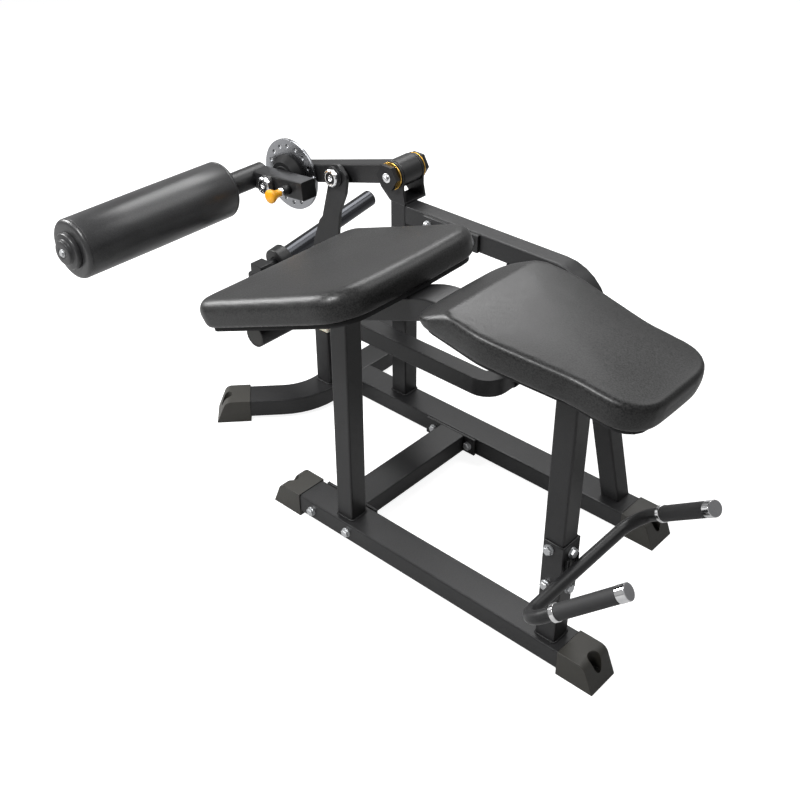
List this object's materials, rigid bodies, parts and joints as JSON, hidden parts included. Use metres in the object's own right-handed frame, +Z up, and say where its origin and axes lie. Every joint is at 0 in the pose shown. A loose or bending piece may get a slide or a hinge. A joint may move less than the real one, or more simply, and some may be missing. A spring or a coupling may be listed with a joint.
{
  "type": "lying leg curl machine",
  "caption": "Plate-loaded lying leg curl bench: bent two-part pad over a welded tube frame, foam ankle roller on an indexed swinging arm, link plate to a weight lever with plate sleeve.",
  "frame": {"origin": "on the floor, under the middle of the bounding box", "axes": "+X toward the head end, +Y toward the side where plates are loaded, +Z up"},
  "size_m": [1.6346, 1.0934, 0.8255],
  "materials": {
    "black_powder_coat": "textured black powder coat on welded steel tube and plate",
    "black_rubber": "moulded black rubber",
    "pale_rubber": "cast pale rubber buffer",
    "charcoal_vinyl": "charcoal vinyl upholstery over foam",
    "pad_board": "plywood board, black backing cloth",
    "black_foam": "closed-cell foam with a smooth skin",
    "chrome_plate": "bright chrome plate",
    "dark_chrome": "dark polished plating",
    "zinc_plate": "zinc plated steel, satin",
    "gold_anodised": "gold anodised ring",
    "yellow_plastic": "moulded yellow plastic knob"
  },
  "bodies": {
    "frame": {"boot_centre_foot": "black_rubber", "boot_centre_head": "black_rubber", "boot_foot_far": "black_rubber", "boot_foot_near": "black_rubber", "boot_side_head": "black_rubber", "centre_rail": "black_powder_coat", "chest_board": "pad_board", "chest_pad": "charcoal_vinyl", "chest_post": "black_powder_coat", "cross_flange_far": "black_powder_coat", "cross_flange_near": "black_powder_coat", "cross_member": "black_powder_coat", "cross_tube_plug": "black_rubber", "curved_foot": "black_powder_coat", "grip_collar_far": "chrome_plate", "grip_collar_near": "chrome_plate", "grip_end_far": "chrome_plate", "grip_end_near": "chrome_plate", "grip_far": "black_foam", "grip_near": "black_foam", "handle_bar": "black_powder_coat", "handle_bracket": "black_powder_coat", "lever_hanger": "black_powder_coat", "pad_cross_tube": "black_powder_coat", "pad_spine": "black_powder_coat", "pivot_bracket": "black_powder_coat", "pivot_cap_far": "black_powder_coat", "pivot_cap_near": "black_powder_coat", "pivot_post": "black_powder_coat", "pivot_ring_far": "gold_anodised", "pivot_ring_near": "gold_anodised", "pivot_shaft": "chrome_plate", "side_rail": "black_powder_coat", "side_tube": "black_powder_coat", "spine_plug": "black_rubber", "stop_bumper": "pale_rubber", "stop_post": "black_powder_coat", "thigh_board": "pad_board", "thigh_pad": "charcoal_vinyl", "thigh_post": "black_powder_coat"},
    "arm": {"movement_arm": "black_powder_coat", "index_disc": "zinc_plate", "disc_hub": "black_powder_coat", "index_bolt": "chrome_plate", "link_bolt": "chrome_plate"},
    "roller_carrier": {"roller_lever": "black_powder_coat", "roller_shaft": "black_powder_coat", "roller_end_cap": "black_powder_coat", "roller_stop_collar": "black_powder_coat", "pin_barrel": "black_powder_coat", "shaft_plug": "black_rubber"},
    "foam": {"foam_roller": "black_foam"},
    "index_pin": {"pull_pin": "yellow_plastic"},
    "link": {"link_plate": "black_powder_coat"},
    "weight_arm": {"weight_lever": "black_powder_coat", "weight_sleeve": "dark_chrome", "sleeve_collar": "black_powder_coat", "lever_shaft_collar": "zinc_plate", "weight_lever_plug": "black_rubber"}
  },
  "joints": [
    {"name": "arm_curl", "type": "hinge", "parent": "frame", "child": "arm", "pos_m": [-0.29237, 0.18456, 0.698], "axis": [0, 1, 0], "range_deg": [0, 95]},
    {"name": "link_swing", "type": "hinge", "parent": "arm", "child": "link", "pos_m": [-0.48009, 0.14156, 0.64523], "axis": [0, 1, 0], "range_deg": [-86, 0]},
    {"name": "weight_arm_lift", "type": "hinge", "parent": "frame", "child": "weight_arm", "pos_m": [0.08963, 0.17456, 0.279], "axis": [0, 1, 0], "range_deg": [0, 28]},
    {"name": "roller_index", "type": "hinge", "parent": "arm", "child": "roller_carrier", "pos_m": [-0.66233, 0.09456, 0.59401], "axis": [0, 1, 0], "range_deg": [-67.5, 67.5]},
    {"name": "roller_spin", "type": "hinge", "parent": "roller_carrier", "child": "foam", "pos_m": [-0.74196, -0.25744, 0.58634], "axis": [0, 1, 0], "continuous": true},
    {"name": "pin_pull", "type": "slide", "parent": "roller_carrier", "child": "index_pin", "axis": [0, -1, 0], "range_m": [0, 0.012], "stiffness_N_per_m": 400, "springref_m": -0.01}
  ],
  "couplings": [
    {"joint": "link_swing", "follows": "arm_curl", "ratio": -0.896},
    {"joint": "weight_arm_lift", "follows": "arm_curl", "ratio": 0.288}
  ]
}
